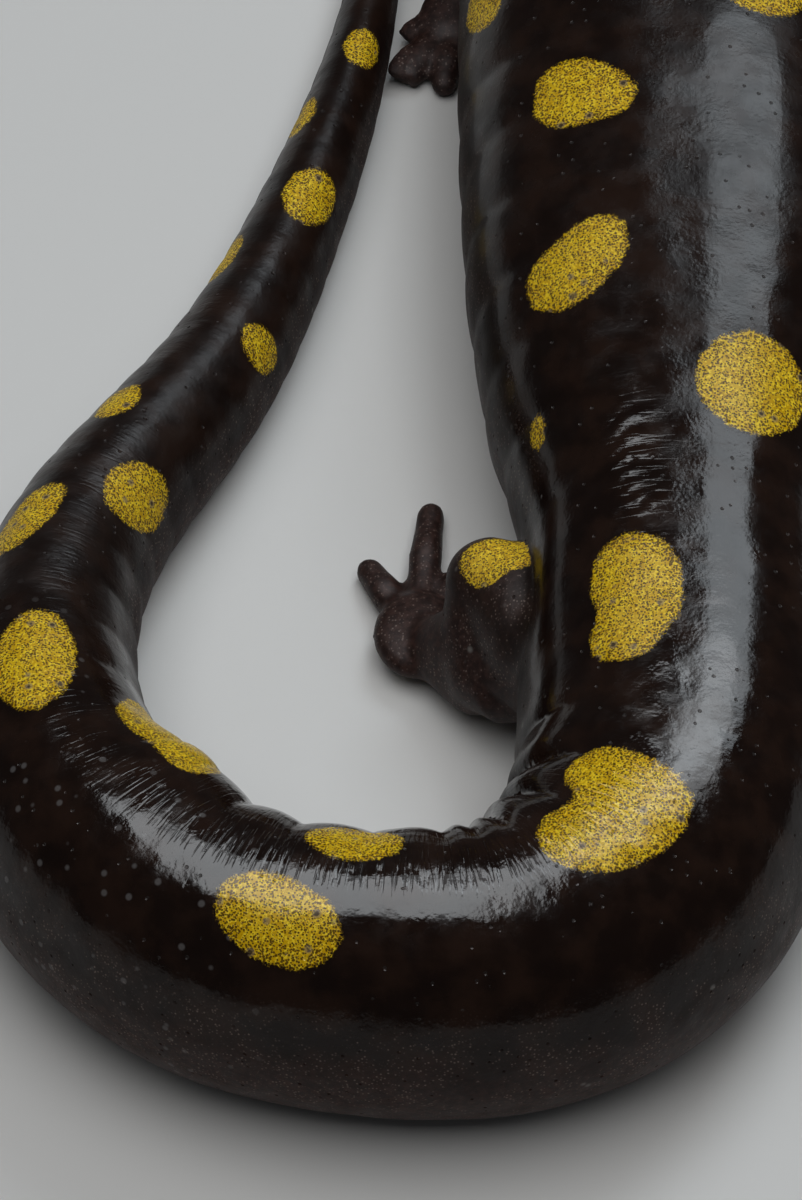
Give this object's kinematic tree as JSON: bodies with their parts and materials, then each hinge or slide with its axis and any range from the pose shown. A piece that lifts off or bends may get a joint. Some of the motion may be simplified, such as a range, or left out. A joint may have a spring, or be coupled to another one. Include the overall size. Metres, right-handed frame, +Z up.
{
  "type": "spotted salamander",
  "caption": "A life-size spotted salamander resting on its belly, its tail curled forward along its left side; a still museum-type model with no joints.",
  "frame": {"origin": "The middle of the outline seen from above, on the floor the animal rests on.", "axes": "The head points to -Y and the trunk lies along Y; +X is the animal's left, where the tail lies; +Z is up."},
  "size_m": [0.0539, 0.1112, 0.0139],
  "materials": {
    "skin": "wet, glossy, near-black skin with yellow spots; the spots and folds are in the visual model",
    "eye": "polished black-brown eyeball"
  },
  "bodies": {
    "root": {"head": "skin", "neck": "skin", "trunk": "skin", "tail_base": "skin", "tail_bend": "skin", "tail_middle": "skin", "tail_tip": "skin", "fore_left_upper_arm": "skin", "fore_left_forearm": "skin", "fore_left_hand": "skin", "fore_right_upper_arm": "skin", "fore_right_forearm": "skin", "fore_right_hand": "skin", "hind_left_thigh": "skin", "hind_left_shin": "skin", "hind_left_foot": "skin", "hind_right_thigh": "skin", "hind_right_shin": "skin", "hind_right_foot": "skin", "eye_left": "eye", "eye_right": "eye"}
  },
  "joints": []
}
